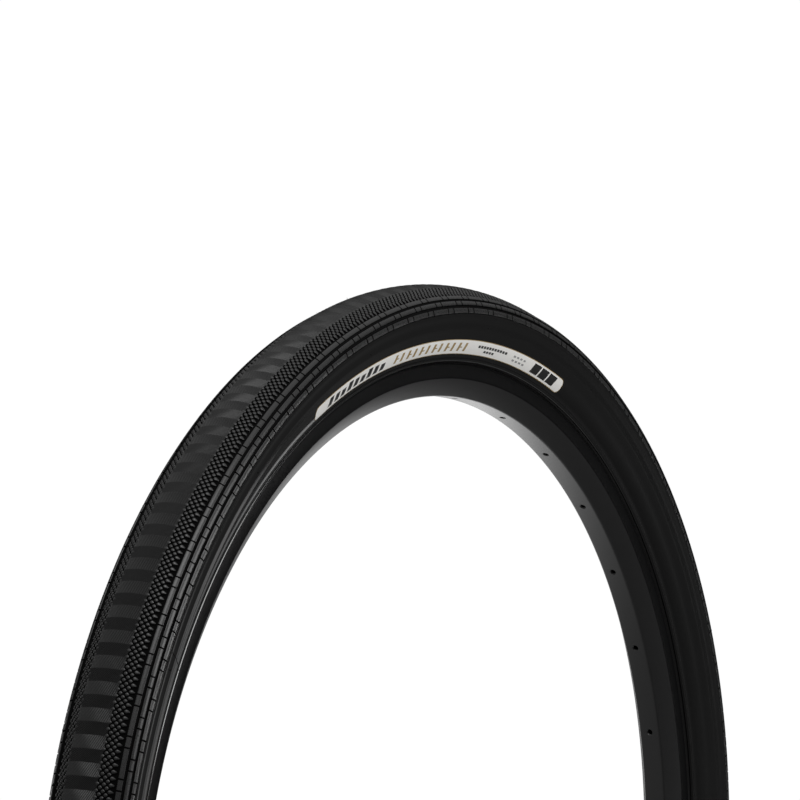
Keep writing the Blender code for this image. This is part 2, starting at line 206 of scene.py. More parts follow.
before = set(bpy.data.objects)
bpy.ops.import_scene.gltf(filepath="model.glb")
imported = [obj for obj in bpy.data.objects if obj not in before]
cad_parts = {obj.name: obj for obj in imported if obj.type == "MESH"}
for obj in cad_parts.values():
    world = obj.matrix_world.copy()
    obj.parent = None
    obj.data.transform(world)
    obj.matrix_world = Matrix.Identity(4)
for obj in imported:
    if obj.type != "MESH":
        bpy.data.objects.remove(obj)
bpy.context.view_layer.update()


# ---------------------------------------------------------------- mesh helpers

def polar(r, y, angle):
    """World metres from radius, y (millimetres) and angle (degrees)."""
    a = np.radians(angle)
    r, y, a = np.broadcast_arrays(r, y, a)
    return np.stack([r * np.cos(a), y, r * np.sin(a)], axis=-1) * MM


def on_crown(s, angle, height):
    """A point on the crown at section distance s, raised by height."""
    a = np.asarray(s) / ARC_R
    radius = ARC_R + np.asarray(height)
    return polar(ARC_CENTRE_R + radius * np.cos(a), -radius * np.sin(a), angle)


def new_piece(name, mesh, mat, body=ROOT, replaces=(), sharp=32, painted_shade_walls=None, painted_shade_faces=()):
    """An object on a body. painted_shade_faces flags the faces that wear the walls material instead."""
    # The second material is painted shade: a darker, duller copy of the rubber for recessed sides.
    mesh.materials.append(mat)
    if painted_shade_walls:
        mesh.materials.append(painted_shade_walls)
        mesh.polygons.foreach_set("material_index", np.array(painted_shade_faces, dtype=np.int32))
    mesh.shade_smooth()
    mesh.set_sharp_from_angle(angle=math.radians(sharp))
    obj = bpy.data.objects.new(name, mesh)
    bpy.context.scene.collection.objects.link(obj)
    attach(obj, body)
    if replaces:
        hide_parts(*replaces)
    return obj


def mesh_from(name, verts, faces, merge=0.0):
    """A mesh with its faces turned outwards. Vertices closer than merge become one."""
    mesh = bpy.data.meshes.new(name)
    mesh.from_pydata(np.asarray(verts).reshape(-1, 3).tolist(), [], faces)
    bm = bmesh.new()
    bm.from_mesh(mesh)
    if merge:
        bmesh.ops.remove_doubles(bm, verts=bm.verts, dist=merge)
    bmesh.ops.recalc_face_normals(bm, faces=bm.faces)
    bm.to_mesh(mesh)
    bm.free()
    return mesh


def repeat_faces(faces, step, count):
    """The same faces for count copies of a solid that has step vertices."""
    return [tuple(v + k * step for v in f) for k in range(count) for f in faces]


def tube_faces(rows, columns, wrap_rows=False, wrap_columns=True):
    """Quads of a grid whose vertex index is row * columns + column."""
    faces = []
    for i in range(rows if wrap_rows else rows - 1):
        for j in range(columns if wrap_columns else columns - 1):
            k, m = (i + 1) % rows, (j + 1) % columns
            faces.append((i * columns + j, i * columns + m, k * columns + m, k * columns + j))
    return faces


def revolve(name, outline, steps=RING_STEPS):
    """A closed outline in (radius, y) spun all the way round the wheel axis."""
    section = np.array(outline)
    angles = np.arange(steps) * 360 / steps
    verts = polar(section[None, :, 0], section[None, :, 1], angles[:, None])
    return mesh_from(name, verts, tube_faces(steps, len(section), wrap_rows=True))


def rounded(outline, sizes, steps):
    """The closed outline with each corner rounded by its own size."""
    points = [Vector(p) for p in outline]
    result = []
    for i, corner in enumerate(points):
        before, after = points[i - 1], points[(i + 1) % len(points)]
        if not sizes[i]:
            result.append(tuple(corner))
            continue
        reach = min(sizes[i], CORNER_SHARE * (before - corner).length,
                    CORNER_SHARE * (after - corner).length)
        start = corner + (before - corner).normalized() * reach
        end = corner + (after - corner).normalized() * reach
        for k in range(steps + 1):
            t = k / steps
            bend = start * (1 - t) ** 2 + corner * 2 * t * (1 - t) + end * t ** 2
            result.append(tuple(bend))
    return result


def sided(outline, side):
    """An outline of the left side, or its mirror image for the right side."""
    return [(r, y * side) for r, y in outline]


def casing_arc(radius, angles):
    """(radius, y) points at these angles from the crown, on an arc round the casing's centre."""
    return [
        (CASING_CENTRE_R + radius * math.cos(math.radians(a)), radius * math.sin(math.radians(a)))
        for a in angles
    ]


# ------------------------------------------------------------------- materials

def grey(level):
    return (level, level, level)


def node_material(name, colour, roughness, metallic=0.0, specular=0.5):
    """A Principled material, with its nodes, links and shader ready for more."""
    mat = bpy.data.materials.new(name)
    mat.use_nodes = True
    shader = mat.node_tree.nodes["Principled BSDF"]
    shader.inputs["Base Color"].default_value = (*colour, 1.0)
    shader.inputs["Roughness"].default_value = roughness
    shader.inputs["Metallic"].default_value = metallic
    shader.inputs["Specular IOR Level"].default_value = specular
    return mat, mat.node_tree.nodes, mat.node_tree.links, shader


def noise(nodes, links, scale, detail=3.0, roughness=0.6):
    """Noise in object space, with scale in cells per metre."""
    place = nodes.new("ShaderNodeTexCoord")
    texture = nodes.new("ShaderNodeTexNoise")
    texture.inputs["Scale"].default_value = scale
    texture.inputs["Detail"].default_value = detail
    texture.inputs["Roughness"].default_value = roughness
    links.new(place.outputs["Object"], texture.inputs["Vector"])
    return texture.outputs["Fac"]


def ramp(nodes, links, value, span, levels, kind="SMOOTHSTEP"):
    """A step of value over span, from the first level to the second."""
    step = nodes.new("ShaderNodeMapRange")
    step.interpolation_type = kind
    step.inputs["From Min"].default_value, step.inputs["From Max"].default_value = span
    step.inputs["To Min"].default_value, step.inputs["To Max"].default_value = levels
    links.new(value, step.inputs["Value"])
    return step.outputs["Result"]


def measure(nodes, links, vector, along):
    """The component of a vector along a direction."""
    maths = nodes.new("ShaderNodeVectorMath")
    maths.operation = "DOT_PRODUCT"
    links.new(vector, maths.inputs[0])
    maths.inputs[1].default_value = along
    return maths.outputs["Value"]


def times(nodes, links, value, factor):
    """The product of two values."""
    product = nodes.new("ShaderNodeMath")
    product.operation = "MULTIPLY"
    links.new(value, product.inputs[0])
    links.new(factor, product.inputs[1])
    return product.outputs[0]


def mottle(nodes, links, shader, value, dark, light):
    """Base colour from dark to light as value goes from 0 to 1."""
    blend = nodes.new("ShaderNodeMix")
    blend.data_type = "RGBA"
    for socket, colour in zip(MIX_COLOURS, (dark, light)):
        blend.inputs[socket].default_value = (*colour, 1.0)
    links.new(value, blend.inputs[0])
    links.new(blend.outputs[MIX_RESULT], shader.inputs["Base Color"])


def roughen(nodes, links, shader, value, levels):
    """Roughness from noise, stretched between two levels."""
    links.new(ramp(nodes, links, value, NOISE_SPAN, levels, "LINEAR"), shader.inputs["Roughness"])


def bump(nodes, links, shader, value, distance):
    """Relief of a depth in millimetres."""
    relief = nodes.new("ShaderNodeBump")
    relief.inputs["Distance"].default_value = distance * MM
    links.new(value, relief.inputs["Height"])
    links.new(relief.outputs["Normal"], shader.inputs["Normal"])


def rubber_material(name, dark, light, rough, grain, relief, specular=0.5):
    """Moulded rubber or plastic: a cloudy black with a fine grain."""
    mat, nodes, links, shader = node_material(name, dark, rough[0], specular=specular)
    cloud = noise(nodes, links, 60)
    fine = noise(nodes, links, grain, 5.0, 0.7)
    mottle(nodes, links, shader, cloud, dark, light)
    roughen(nodes, links, shader, fine, rough)
    bump(nodes, links, shader, fine, relief)
    return mat


def anodised_material(name, dark, light, rough):
    """Black anodised metal, a little cloudy, with a duller finish on the rim's flanks."""
    mat, nodes, links, shader = node_material(name, dark, rough[0])
    cloud = noise(nodes, links, 35, 4.0)
    fine = noise(nodes, links, 2600)
    mottle(nodes, links, shader, cloud, dark, light)
    roughen(nodes, links, shader, fine, rough)
    bump(nodes, links, shader, cloud, 0.002)
    across = nodes.new("ShaderNodeMath")
    across.operation = "ABSOLUTE"
    place = nodes.new("ShaderNodeTexCoord").outputs["Object"]
    links.new(measure(nodes, links, place, (0, 1, 0)), across.inputs[0])
    edge = [y * MM for y in RIM_FLANK_EDGE]
    links.new(ramp(nodes, links, across.outputs[0], edge, RIM_SHINE),
              shader.inputs["Specular IOR Level"])
    return mat


def woven_material(name, dark, light, thread):
    """Slanting threads of the given size in millimetres."""
    mat, nodes, links, shader = node_material(name, dark, 0.8)
    place = nodes.new("ShaderNodeTexCoord")
    weave = nodes.new("ShaderNodeTexWave")
    weave.bands_direction = "DIAGONAL"
    weave.inputs["Scale"].default_value = 1 / (2 * math.pi * thread * MM)
    weave.inputs["Distortion"].default_value = 0.6
    links.new(place.outputs["Object"], weave.inputs["Vector"])
    mottle(nodes, links, shader, weave.outputs["Fac"], dark, light)
    bump(nodes, links, shader, weave.outputs["Fac"], 0.08)
    return mat


def metal_material(name, dark, light, roughness):
    """Bare or blackened metal with a fine uneven finish."""
    mat, nodes, links, shader = node_material(name, dark, roughness, metallic=1.0)
    cloud = noise(nodes, links, 900, 4.0)
    mottle(nodes, links, shader, cloud, dark, light)
    fine = noise(nodes, links, 5000)
    roughen(nodes, links, shader, fine, (roughness - 0.08, roughness + 0.1))
    bump(nodes, links, shader, fine, 0.003)
    return mat


def print_material(name, dark, light, roughness):
    """Ink or film with a slightly uneven colour."""
    mat, nodes, links, shader = node_material(name, dark, roughness)
    cloud = noise(nodes, links, 1200, 4.0)
    mottle(nodes, links, shader, cloud, dark, light)
    bump(nodes, links, shader, cloud, 0.01)
    return mat


def make_materials():
    """Every material by a short key."""
    return {
        "tread": rubber_material("tread_rubber", grey(0.004), grey(0.008),
                                 (0.26, 0.36), 3000, 0.02),
        # Painted sheen: a lighter, shinier copy of the rubber for the tops of the knobs and ribs.
        "knob": rubber_material("knob_rubber_painted_sheen", grey(0.006), grey(0.01),
                                (0.24, 0.34), 3000, 0.02, specular=0.8),
        # Painted shade: a darker, duller copy of the rubber for the recesses of the pattern.
        "painted_shade_rubber": rubber_material("groove_rubber_painted_shade", grey(0.002), grey(0.003),
                                  (0.7, 0.85), 3000, 0.02, specular=0.1),
        "sidewall": rubber_material("sidewall_rubber", grey(0.002), grey(0.004),
                                    (0.1, 0.15), 2400, 0.002),
        "black": rubber_material("moulded_rubber", grey(0.012), grey(0.02),
                                 (0.5, 0.65), 4000, 0.01),
        "liner": rubber_material("liner_rubber", grey(0.02), grey(0.04),
                                 (0.4, 0.6), 1500, 0.02),
        "cap": rubber_material("cap_plastic", grey(0.012), grey(0.02),
                               (0.35, 0.5), 2500, 0.01),
        "label": print_material("label_film", (0.84, 0.83, 0.8), (0.9, 0.89, 0.86), 0.45),
        "ink": print_material("label_ink", grey(0.008), grey(0.016), 0.5),
        "grey_ink": print_material("label_grey_ink", grey(0.25), grey(0.33), 0.4),
        "gold_ink": print_material("label_gold_ink", (0.27, 0.18, 0.065), (0.38, 0.27, 0.11),
                                   0.45),
        "tape": print_material("tape_film", (0.3, 0.25, 0.08), (0.4, 0.33, 0.12), 0.3),
        "rim": anodised_material("rim_anodised", (0.002, 0.002, 0.0022), (0.004, 0.004, 0.0042),
                                 (0.28, 0.36)),
        "sleeve": metal_material("sleeve_aluminium", (0.5, 0.5, 0.52), (0.62, 0.62, 0.64), 0.4),
        "valve": metal_material("valve_metal", grey(0.02), grey(0.04), 0.3),
        "brass": metal_material("valve_brass", (0.5, 0.34, 0.12), (0.68, 0.5, 0.22), 0.28),
        "casing": woven_material("casing_fabric", (0.03, 0.028, 0.025), (0.09, 0.085, 0.08), 0.4),
        "belt": woven_material("belt_fabric", (0.16, 0.12, 0.05), (0.32, 0.26, 0.12), 0.5),
        "aramid": woven_material("bead_aramid", (0.4, 0.3, 0.07), (0.65, 0.5, 0.16), 0.3),
    }


# ----------------------------------------------------------------------- tread

def build_tread_body(mats):
    """Rubber under the pattern, in painted shade: valley floor, floors of grooves, underside."""
    land = ARC_R - LAND_DEPTH
    crown = [
        (ARC_CENTRE_R + land * math.cos(s / ARC_R), land * math.sin(s / ARC_R))
        for s in np.linspace(0, LAND_HALF_WIDTH, 9)
    ]
    shoulder = [(334.5, 18.0), (332.5, 20.7), (329.1, 22.7), (326.7, 23.3), (325.7, 24.2)]
    half = crown + shoulder + casing_arc(TREAD_UNDER_R, (68, 51, 34, 17))
    whole = half + [(CASING_CENTRE_R + TREAD_UNDER_R, 0)]
    whole += [(r, -y) for r, y in reversed(half[1:])]
    mesh = revolve("tread_body", whole)
    new_piece("tread_body", mesh, mats["painted_shade_rubber"], replaces=("tread_cap",))


def build_file_band(mats):
    """The crown's sheet of fine ridges. Each block's ridges slant the other way."""
    reach = int(FILE_HALF_WIDTH + FILE_SHIFT) + 2
    lines = [(i * FILE_PITCH + d, h) for i in range(-reach, reach) for d, h in FILE_RIDGE]
    bm = bmesh.new()
    rows = []
    for along, shift in ((0, 0), (BLOCK_LENGTH, FILE_SHIFT), (2 * BLOCK_LENGTH, 0)):
        rows.append([bm.verts.new((s + shift, along, h)) for s, h in lines])
    for near, far in zip(rows, rows[1:]):
        for i in range(len(lines) - 1):
            bm.faces.new((near[i], near[i + 1], far[i + 1], far[i]))
    for side in (1, -1):
        geometry = bm.verts[:] + bm.edges[:] + bm.faces[:]
        bmesh.ops.bisect_plane(bm, geom=geometry, dist=MERGE_DISTANCE, clear_outer=True,
                               plane_co=(side * FILE_HALF_WIDTH, 0, 0), plane_no=(side, 0, 0))
    flat = np.array([v.co for v in bm.verts])
    bm.verts.index_update()
    faces = [tuple(v.index for v in f.verts) for f in bm.faces]
    bm.free()

    starts = FIRST_BLOCK_ANGLE + np.arange(BLOCK_PAIRS) * 2 * BLOCK_ANGLE
    angles = starts[:, None] + np.degrees(flat[:, 1] / CROWN_R)[None, :]
    top = on_crown(flat[None, :, 0], angles, flat[None, :, 2])
    mesh = bpy.data.meshes.new("tread_file_band")
    mesh.from_pydata(top.reshape(-1, 3).tolist(), [],
                     repeat_faces(faces, len(flat), BLOCK_PAIRS))
    bm = bmesh.new()
    bm.from_mesh(mesh)
    bmesh.ops.remove_doubles(bm, verts=bm.verts, dist=2 * MERGE_DISTANCE)
    sheet = bmesh.ops.extrude_face_region(bm, geom=bm.faces[:], use_keep_orig=True)
    for v in [g for g in sheet["geom"] if isinstance(g, bmesh.types.BMVert)]:
        out = Vector((v.co.x, 0, v.co.z)).normalized() * ARC_CENTRE_R * MM
        v.co = out + (v.co - out).normalized() * (ARC_R - FILE_FLOOR) * MM
    bmesh.ops.recalc_face_normals(bm, faces=bm.faces)
    bm.to_mesh(mesh)
    bm.free()
    new_piece("tread_file_band", mesh, mats["tread"], sharp=20)


def knob_solid(tail):
    """One diamond knob with cut corners, in (s, along, height). tail lengthens its outer tip."""
    foot = KNOB_LEVELS[0][0]
    points = []
    for height, half in KNOB_LEVELS:
        near, far = KNOB_CUT * half, half
        ring = [(far, -near), (far, near), (near, far), (-near, far),
                (-far, near), (-far, -near), (-near, -far), (near, -far)]
        for s, along in ring:
            drop = 0.0
            if s == far:
                s = s + tail
                drop = KNOB_TAIL_DROP * tail if height > foot else 0.0
            points.append((s, along, height - drop))
    sides = len(ring)
    faces = tube_faces(len(KNOB_LEVELS), sides)
    faces.append(tuple(range(sides - 1, -1, -1)))
    faces.append(tuple(range(len(points) - sides, len(points))))
    # The band of faces at the foot is flagged for the painted shade.
    painted_shade_walls = [1] * sides + [0] * (len(faces) - sides)
    return np.array(points), faces, painted_shade_walls


def build_knobs(mats):
    """Rows of knobs on each side, all round, feet painted with shade and tops with sheen."""
    pitch = 360 / KNOBS
    for name, side in SIDES:
        verts, faces = [], []
        for row, (s, phase) in enumerate(KNOB_ROWS):
            tail = KNOB_TAIL if row == len(KNOB_ROWS) - 1 else 0.0
            solid, solid_faces, painted_shade_walls = knob_solid(tail)
            centres = (np.arange(KNOBS) + phase) * pitch
            angles = centres[:, None] + np.degrees(solid[None, :, 1] / CROWN_R)
            made = on_crown(-side * (s + solid[None, :, 0]), angles, solid[None, :, 2])
            faces += [
                tuple(v + len(verts) * len(solid) * KNOBS for v in f)
                for f in repeat_faces(solid_faces, len(solid), KNOBS)
            ]
            verts.append(made.reshape(-1, 3))
        mesh = mesh_from("tread_knobs_" + name, np.concatenate(verts), faces)
        new_piece("tread_knobs_" + name, mesh, mats["knob"], sharp=58,
                  painted_shade_walls=mats["painted_shade_rubber"], painted_shade_faces=painted_shade_walls * KNOBS * len(KNOB_ROWS))


def rib_outline(inner, outer):
    """A low crowned block between two edges, its foot sunk into the tread body."""
    a, b = Vector(inner), Vector(outer)
    across = (b - a).normalized()
    out = Vector((-across.y, across.x))
    if out.x < 0:
        out = -out
    middle = (a + b) / 2 + out * RIB_RISE
    corners = [a - out * RIB_DEPTH, a, middle, b, b - out * RIB_DEPTH]
    return rounded(corners, [0, RIB_ROUNDING, 0, RIB_ROUNDING, 0], 2)


def build_ribs(mats):
    """Three ribs a side, cut into a long and a short block by thin sipes."""
    period = 360 / SIPE_PERIODS
    half_cut = SIPE_WIDTH_ANGLE / 2
    spans = ((half_cut, SIPE_PAIR_ANGLE - half_cut, 2),
             (SIPE_PAIR_ANGLE + half_cut, period - half_cut, 4))
    for name, side in SIDES:
        verts, faces, painted_shade_walls = [], [], []
        for inner, outer, first in (RIB_A, RIB_B, RIB_C):
            section = np.array(sided(rib_outline(inner, outer), side))
            count = len(section)
            for start, end, rows in spans:
                offsets = np.linspace(start, end, rows)
                angles = first + np.arange(SIPE_PERIODS)[:, None] * period + offsets[None, :]
                made = polar(section[None, None, :, 0], section[None, None, :, 1],
                             angles[:, :, None])
                block = tube_faces(rows, count)
                block.append(tuple(range(count - 1, -1, -1)))
                block.append(tuple(range((rows - 1) * count, rows * count)))
                ring = [1] + [0] * (count - 3) + [1, 1]
                painted_shade_walls += (ring * (rows - 1) + [1, 1]) * SIPE_PERIODS
                base = sum(len(v) for v in verts)
                faces += [
                    tuple(v + base for v in f)
                    for f in repeat_faces(block, rows * count, SIPE_PERIODS)
                ]
                verts.append(made.reshape(-1, 3))
        mesh = mesh_from("shoulder_ribs_" + name, np.concatenate(verts), faces)
        # Rib tops wear the painted sheen, and their sides and sipe ends wear the painted shade.
        new_piece("shoulder_ribs_" + name, mesh, mats["knob"], sharp=35,
                  painted_shade_walls=mats["painted_shade_rubber"], painted_shade_faces=painted_shade_walls)


# -------------------------------------------------------------------- sidewall

def wall_point(across, lift=0.0):
    """(radius, y) on the wall that carries the label, across it from the label's lower edge."""
    (top_r, top_y), (bottom_r, bottom_y) = LABEL_TOP, LABEL_BOTTOM
    up = ((top_r - bottom_r) / LABEL_HEIGHT, (top_y - bottom_y) / LABEL_HEIGHT)
    t = np.clip(across / LABEL_HEIGHT, *LABEL_BULGE_REACH)
    out = 4 * LABEL_BULGE * t * (1 - t) + lift
    return bottom_r + up[0] * across - up[1] * out, bottom_y + up[1] * across + up[0] * out


def sidewall_face():
    """(radius, y) down the outer face of the sidewall, from the lowest rib to the rim."""
    shoulder = [(325.6, 24.3), (324.6, 24.35), (323.4, 24.05), (321.9, 23.3), (319.9, 22.75),
                (317.6, 22.55)]
    bend = [(317.2, 22.5), (316.8, 22.38), (316.3, 22.17), (315.0, 21.6), (313.4, 20.88)]
    wall = [wall_point(across) for across in np.linspace(LABEL_HEIGHT, -WALL_BELOW_LABEL, 10)]
    lip = [(302.2, 15.52), (301.8, 15.29), (301.35, 15.34), (300.9, 15.39), (300.45, 15.42),
           (300.15, 15.31), (299.8, 15.12), (299.35, 14.83), (299.2, 14.1), (299.3, 13.7)]
    return shoulder + bend + wall + lip


def sidewall_outline():
    """The closed section of the sidewall rubber, from its face round to the casing."""
    under = [(300.5, 13.95), (302.5, 14.9)]
    inner = casing_arc(SIDEWALL_UNDER_R, (118, 105, 93, 80, 68.5))
    return sidewall_face() + under + inner


def build_sidewalls(mats):
    """The sidewall rubber on each side, with the ridge just above the rim."""
    for name, side in SIDES:
        mesh = revolve("sidewall_rubber_" + name, sided(sidewall_outline(), side))
        new_piece("sidewall_rubber_" + name, mesh, mats["sidewall"],
                  replaces=("sidewall_" + name,), sharp=50)


def stub(base, direction, radius, length, tip, sides=8):
    """A short tapered rod in millimetres, rooted a little below its base."""
    base, direction = Vector(base), Vector(direction).normalized()
    first = direction.orthogonal().normalized()
    second = direction.cross(first)
    verts = []
    for along, size in ((-STUB_ROOT, 1.0), (length, tip)):
        for k in range(sides):
            a = 2 * math.pi * k / sides
            verts.append((base + direction * along
                          + (first * math.cos(a) + second * math.sin(a)) * radius * size) * MM)
    faces = tube_faces(2, sides)
    return verts, faces + [tuple(range(sides)), tuple(range(2 * sides - 1, sides - 1, -1))]


def add_stubs(name, stubs, mat):
    """All the rods of a list as one piece."""
    verts, faces = [], []
    for made, made_faces in stubs:
        faces += [tuple(v + len(verts) for v in f) for f in made_faces]
        verts += [tuple(v) for v in made]
    new_piece(name, mesh_from(name, verts, faces), mat)


def splice_strip(name, side):
    """A thin strip across the sidewall's face, half sunk in it."""
    section = np.array([p for p in sidewall_face() if SPLICE_REACH[0] < p[0] < SPLICE_REACH[1]])
    run = np.gradient(section, axis=0)
    out = np.stack([run[:, 1], -run[:, 0]], axis=1) / np.linalg.norm(run, axis=1)[:, None]
    corners = [(1, -1), (1, 1), (-1, 1), (-1, -1)]
    verts = []
    for up, turn in corners:
        r, y = (section + out * up * SPLICE_LIFT).T
        verts.append(polar(r, y * side, SPLICE_ANGLE + turn * SPLICE_WIDTH_ANGLE / 2))
    count = 4 * len(section)
    ends = [tuple(range(4)), tuple(range(count - 4, count))]
    return mesh_from(name, np.stack(verts, axis=1), tube_faces(len(section), 4) + ends)


def build_moulding_marks(mats):
    """Vent nubs and a splice line on the sidewalls, and vent hairs on the knobs."""
    for name, side in SIDES:
        nubs, hairs = [], []
        for k in range(VENTS):
            a = FIRST_VENT_ANGLE + k * 360 / VENTS
            (wall_r, wall_y), (rib_r, rib_y), (out_r, out_y) = (
                sided([WALL_NUB_PLACE, RIB_NUB_PLACE, RIB_NUB_NORMAL], side))
            nubs.append(stub(polar(wall_r, wall_y, a) / MM, (0, side, 0), *WALL_NUB))
            a += RIB_NUB_SHIFT_ANGLE
            nubs.append(stub(polar(rib_r, rib_y, a) / MM, polar(out_r, out_y, a), *RIB_NUB))
        # Sines make the hairs uneven without random draws.
        for k in range(HAIRS):
            uneven = k + 0.3 * math.sin(2.4 * k)
            a = FIRST_HAIR_ANGLE + uneven * 360 / HAIRS
            place = on_crown(-side * KNOB_ROWS[k % 4][0], a, 0.0) / MM
            centre = polar(ARC_CENTRE_R, 0, a) / MM
            length = HAIR_LENGTH + HAIR_LENGTH_SPREAD * math.sin(5.1 * k)
            hairs.append(stub(place, place - centre, HAIR_RADIUS, length, HAIR_TIP, sides=5))
        add_stubs("vent_nubs_" + name, nubs, mats["sidewall"])
        add_stubs("vent_hairs_" + name, hairs, mats["tread"])
        # The splice line wears the painted shade.
        new_piece("splice_line_" + name, splice_strip("splice_line_" + name, side),
                  mats["painted_shade_rubber"])


# ----------------------------------------------------------------------- label

def label_point(along, across, lift, side):
    """along in degrees, across in millimetres up the wall from the label's lower edge."""
    r, y = wall_point(across, lift)
    return polar(r, y * side, along)


def film(columns, side, lift, thickness, slant=0.0):
    """A thin closed film on the wall from columns of (angle, low edge, high edge).

    Its top leans by slant millimetres towards the label's start.
    """
    rows = 9
    start, low, high = (np.array(c)[:, None] for c in zip(*columns))
    across = low + (high - low) * np.linspace(0, 1, rows)[None, :]
    along = start - slant * across / LABEL_HEIGHT / LABEL_DEGREE
    skins = [label_point(along, across, lift + t, side) for t in (thickness, 0)]
    count = along.size
    grid = tube_faces(len(columns), rows, wrap_columns=False)
    faces = list(grid) + [tuple(v + count for v in reversed(f)) for f in grid]
    last = (len(columns) - 1) * rows
    edge = list(range(rows)) + [i * rows + rows - 1 for i in range(1, len(columns))]
    edge += list(range(last + rows - 2, last - 1, -1))
    edge += [i * rows for i in range(len(columns) - 2, 0, -1)]
    for a, b in zip(edge, edge[1:] + edge[:1]):
        faces.append((a, b, b + count, a + count))
    return np.concatenate([s.reshape(-1, 3) for s in skins]), faces


def label_columns(margin):
    """Columns of a long rectangle with round ends, grown by margin."""
    radius = LABEL_CORNER + margin
    start = LABEL_START - margin / LABEL_DEGREE
    end = LABEL_END + margin / LABEL_DEGREE
    corner = [((radius - radius * math.cos(t)) / LABEL_DEGREE, radius - radius * math.sin(t))
              for t in np.linspace(0, math.pi / 2, 9)]
    middle = np.linspace(start + radius / LABEL_DEGREE, end - radius / LABEL_DEGREE, 82)[1:-1]
    insets = [(start + along, inset) for along, inset in corner]
    insets += [(along, 0.0) for along in middle]
    insets += [(end - along, inset) for along, inset in reversed(corner)]
    return [(along, inset - margin, LABEL_SPAN + margin - inset) for along, inset in insets]


def bars(first, width, step, count, low, high, slant):
    """A row of printed bars. first, width and step are in degrees and the rest in millimetres."""
    return [(first + step * i, first + step * i + width, low, high, slant) for i in range(count)]


def print_marks(name, marks, side, mat):
    """Printed bars as one piece. Each bar is a thin slanted film on the label."""
    verts, faces = [], []
    for start, end, low, high, slant in marks:
        columns = [(along, low, high) for along in np.linspace(start, end, 4)]
        made, made_faces = film(columns, side, *PRINT_FILM, slant)
        base = len(verts) * len(made)
        verts.append(made)
        faces += [tuple(v + base for v in f) for f in made_faces]
    new_piece(name, mesh_from(name, np.concatenate(verts), faces), mat)


def build_labels(mats):
    """Off-white films with a gold edge and plain abstract bars where a label has its print."""
    lean = 2.2
    dark = []
    for k in range(3):
        dark += bars(112.0 - 1.28 * k, 0.8, -3.84, 3, 1.4, 6.9 - 0.7 * k, lean)
    dark += bars(66.6, 1.5, 1.75, 3, 1.2, 7.2, lean)
    dark += bars(77.2, 0.4, 0.55, 11, 4.4, 5.9, 0.6)
    dark += bars(79.6, 0.4, 0.55, 4, 1.9, 3.2, 0.6)
    gold = bars(85.6, 0.4, 1.25, 12, 1.6, 6.6, lean) + bars(86.3, 0.8, 2.5, 6, 3.7, 4.3, 0.4)
    pale = bars(73.2, 0.4, 0.7, 4, 2.2, 3.3, 0.4) + bars(73.2, 0.4, 0.7, 4, 4.7, 5.8, 0.4)
    for name, side in SIDES:
        edge_name, film_name = "label_edge_" + name, "label_film_" + name
        edge = film(label_columns(LABEL_EDGE_MARGIN), side, *LABEL_EDGE_FILM)
        new_piece(edge_name, mesh_from(edge_name, *edge), mats["gold_ink"])
        face = film(label_columns(0.0), side, *LABEL_FILM)
        new_piece(film_name, mesh_from(film_name, *face), mats["label"],
                  replaces=("label_" + name,))
        print_marks("label_dark_marks_" + name, dark, side, mats["ink"])
        print_marks("label_gold_marks_" + name, gold, side, mats["gold_ink"])
        print_marks("label_grey_marks_" + name, pale, side, mats["grey_ink"])


# ---------------------------------------------------------------- inner layers

def cad_outline(node):
    """The section outline of a CAD ring, read from its mesh at one corner plane."""
    bm = bmesh.new()
    bm.from_mesh(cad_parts[node].data)
    bmesh.ops.remove_doubles(bm, verts=bm.verts, dist=MERGE_DISTANCE)
    corner = math.radians(FIRST_SPOKE_ANGLE + 180 / SPOKES)
    across = Vector((-math.sin(corner), 0, math.cos(corner)))
    along = Vector((math.cos(corner), 0, math.sin(corner)))
    in_plane = {v for v in bm.verts
                if abs(v.co.dot(across)) < 2 * MERGE_DISTANCE and v.co.dot(along) > 0}
    links = {v: [e.other_vert(v) for e in v.link_edges if e.other_vert(v) in in_plane]
             for v in in_plane}
    first = max(in_plane, key=lambda v: (round(v.co.dot(along), 7), v.co.y))
    loop, before, here = [], None, first
    while True:
        loop.append((here.co.dot(along) / MM, here.co.y / MM))
        ahead = [v for v in links[here] if v is not before]
        before, here = here, ahead[0]
        if here is first:
            break
    bm.free()
    return loop


def build_layers(mats):
    """The layers inside the tyre and on the rim bed, round where the CAD rings are faceted."""
    layers = (
        ("puncture_belt", "belt", "belt_fabric"),
        ("casing_ply_outer", "casing", "casing_fabric"),
        ("casing_ply_inner", "casing", "casing_fabric"),
        ("inner_liner", "liner", "liner_rubber"),
        ("bead_core_left", "aramid", "bead_aramid"),
        ("bead_core_right", "aramid", "bead_aramid"),
        ("chafer_left", "black", "black_rubber"),
        ("chafer_right", "black", "black_rubber"),
    )
    for node, mat, slot in layers:
        mesh = revolve(node + "_layer", cad_outline(node), 192)
        new_piece(node + "_layer", mesh, mats[mat], replaces=(node,))


# ------------------------------------------------------------------------- rim

def rim_outline():
    """The closed section of the rim's outside, with each corner rounded by its own size."""
    half = [
        (BED_R, BED_HALF), (290.05, 13.05), (297.6, 13.05), (298.3, 12.4), (298.3, 11.5),
        (297.6, 10.95), (291.8, 10.95), (291.2, 10.35), (291.2, 7.4), (288.0, 5.2),
    ]
    sizes = [0.8, 0.7, 0.5, 0.4, 0.4, 0.3, 0.3, 0.3, 0.8, 0.8]
    whole = half + [(r, -y) for r, y in reversed(half)]
    return rounded(whole, sizes + list(reversed(sizes)), 3)


